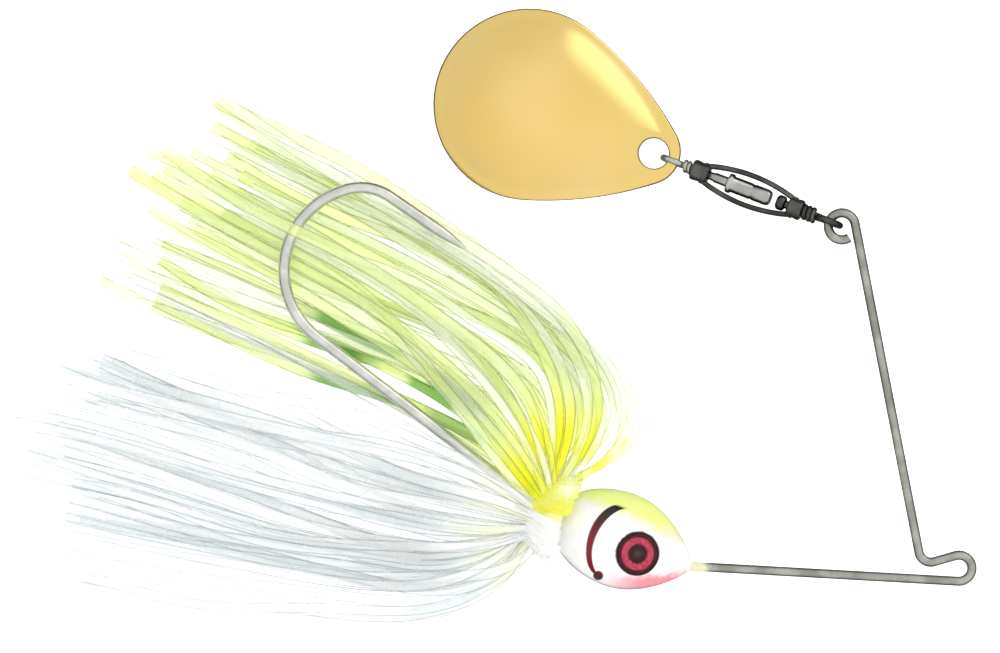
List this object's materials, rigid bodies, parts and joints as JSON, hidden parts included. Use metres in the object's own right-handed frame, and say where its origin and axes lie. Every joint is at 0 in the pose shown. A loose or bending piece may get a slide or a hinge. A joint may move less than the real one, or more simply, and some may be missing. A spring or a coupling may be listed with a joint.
{
  "type": "spinnerbait",
  "caption": "Fishing lure with a weighted painted head and hook under a silicone skirt, and a bent wire arm that carries a turning metal blade on a swivel.",
  "frame": {"origin": "centre of the line tie bend of the wire frame, in the plane of the wire and the hook", "axes": "+X forwards from the head to the line tie, +Y from the lower arm to the blade, +Z at right angles to the plane of the wire; the lure lies on its side"},
  "size_m": [0.1053, 0.0677, 0.0106],
  "materials": {
    "head_paint": "gloss paint over lead, yellow-green back and red chin",
    "eye_foil": "printed metallic foil",
    "eye_resin": "clear domed resin",
    "spring_wire": "drawn stainless wire",
    "hook_steel": "satin forged",
    "band_rubber": "soft matte",
    "nickel": "nickel plate",
    "gold_plate": "polished gold plate",
    "chartreuse_silicone": "translucent silicone",
    "white_silicone": "translucent pearl silicone"
  },
  "bodies": {
    "lure": {"lead_head": "head_paint", "near_eye_foil": "eye_foil", "near_eye_dome": "eye_resin", "far_eye_foil": "eye_foil", "far_eye_dome": "eye_resin", "wire_frame": "spring_wire", "hook": "hook_steel", "skirt_band": "band_rubber", "chartreuse_near_1": "chartreuse_silicone", "chartreuse_near_2": "chartreuse_silicone", "chartreuse_near_3": "chartreuse_silicone", "chartreuse_near_4": "chartreuse_silicone", "chartreuse_near_5": "chartreuse_silicone", "chartreuse_near_6": "chartreuse_silicone", "chartreuse_far_1": "chartreuse_silicone", "chartreuse_far_2": "chartreuse_silicone", "chartreuse_far_3": "chartreuse_silicone", "chartreuse_far_4": "chartreuse_silicone", "chartreuse_far_5": "chartreuse_silicone", "chartreuse_far_6": "chartreuse_silicone", "white_near_1": "white_silicone", "white_near_2": "white_silicone", "white_near_3": "white_silicone", "white_near_4": "white_silicone", "white_near_5": "white_silicone", "white_near_6": "white_silicone", "white_far_1": "white_silicone", "white_far_2": "white_silicone", "white_far_3": "white_silicone", "white_far_4": "white_silicone", "white_far_5": "white_silicone", "white_far_6": "white_silicone"},
    "rear_eye": {"swivel_rear_eye": "nickel"},
    "cage": {"swivel_cage": "nickel"},
    "blade_link": {"swivel_front_eye": "nickel"},
    "blade": {"blade": "gold_plate"}
  },
  "joints": [
    {"name": "swivel_swing", "type": "hinge", "parent": "lure", "child": "rear_eye", "pos_m": [-0.01391, 0.03767, 0], "axis": [0.3665, 0.9304, 0], "range_deg": [-60, 60]},
    {"name": "cage_spin", "type": "hinge", "parent": "rear_eye", "child": "cage", "pos_m": [-0.01391, 0.03767, 0], "axis": [-0.9101, 0.3585, -0.2079], "continuous": true},
    {"name": "front_eye_spin", "type": "hinge", "parent": "cage", "child": "blade_link", "pos_m": [-0.01391, 0.03767, 0], "axis": [-0.9101, 0.3585, -0.2079], "continuous": true},
    {"name": "blade_flap", "type": "hinge", "parent": "blade_link", "child": "blade", "pos_m": [-0.03075, 0.0443, -0.00385], "axis": [0.3665, 0.9304, 0], "range_deg": [-95, 95]}
  ]
}
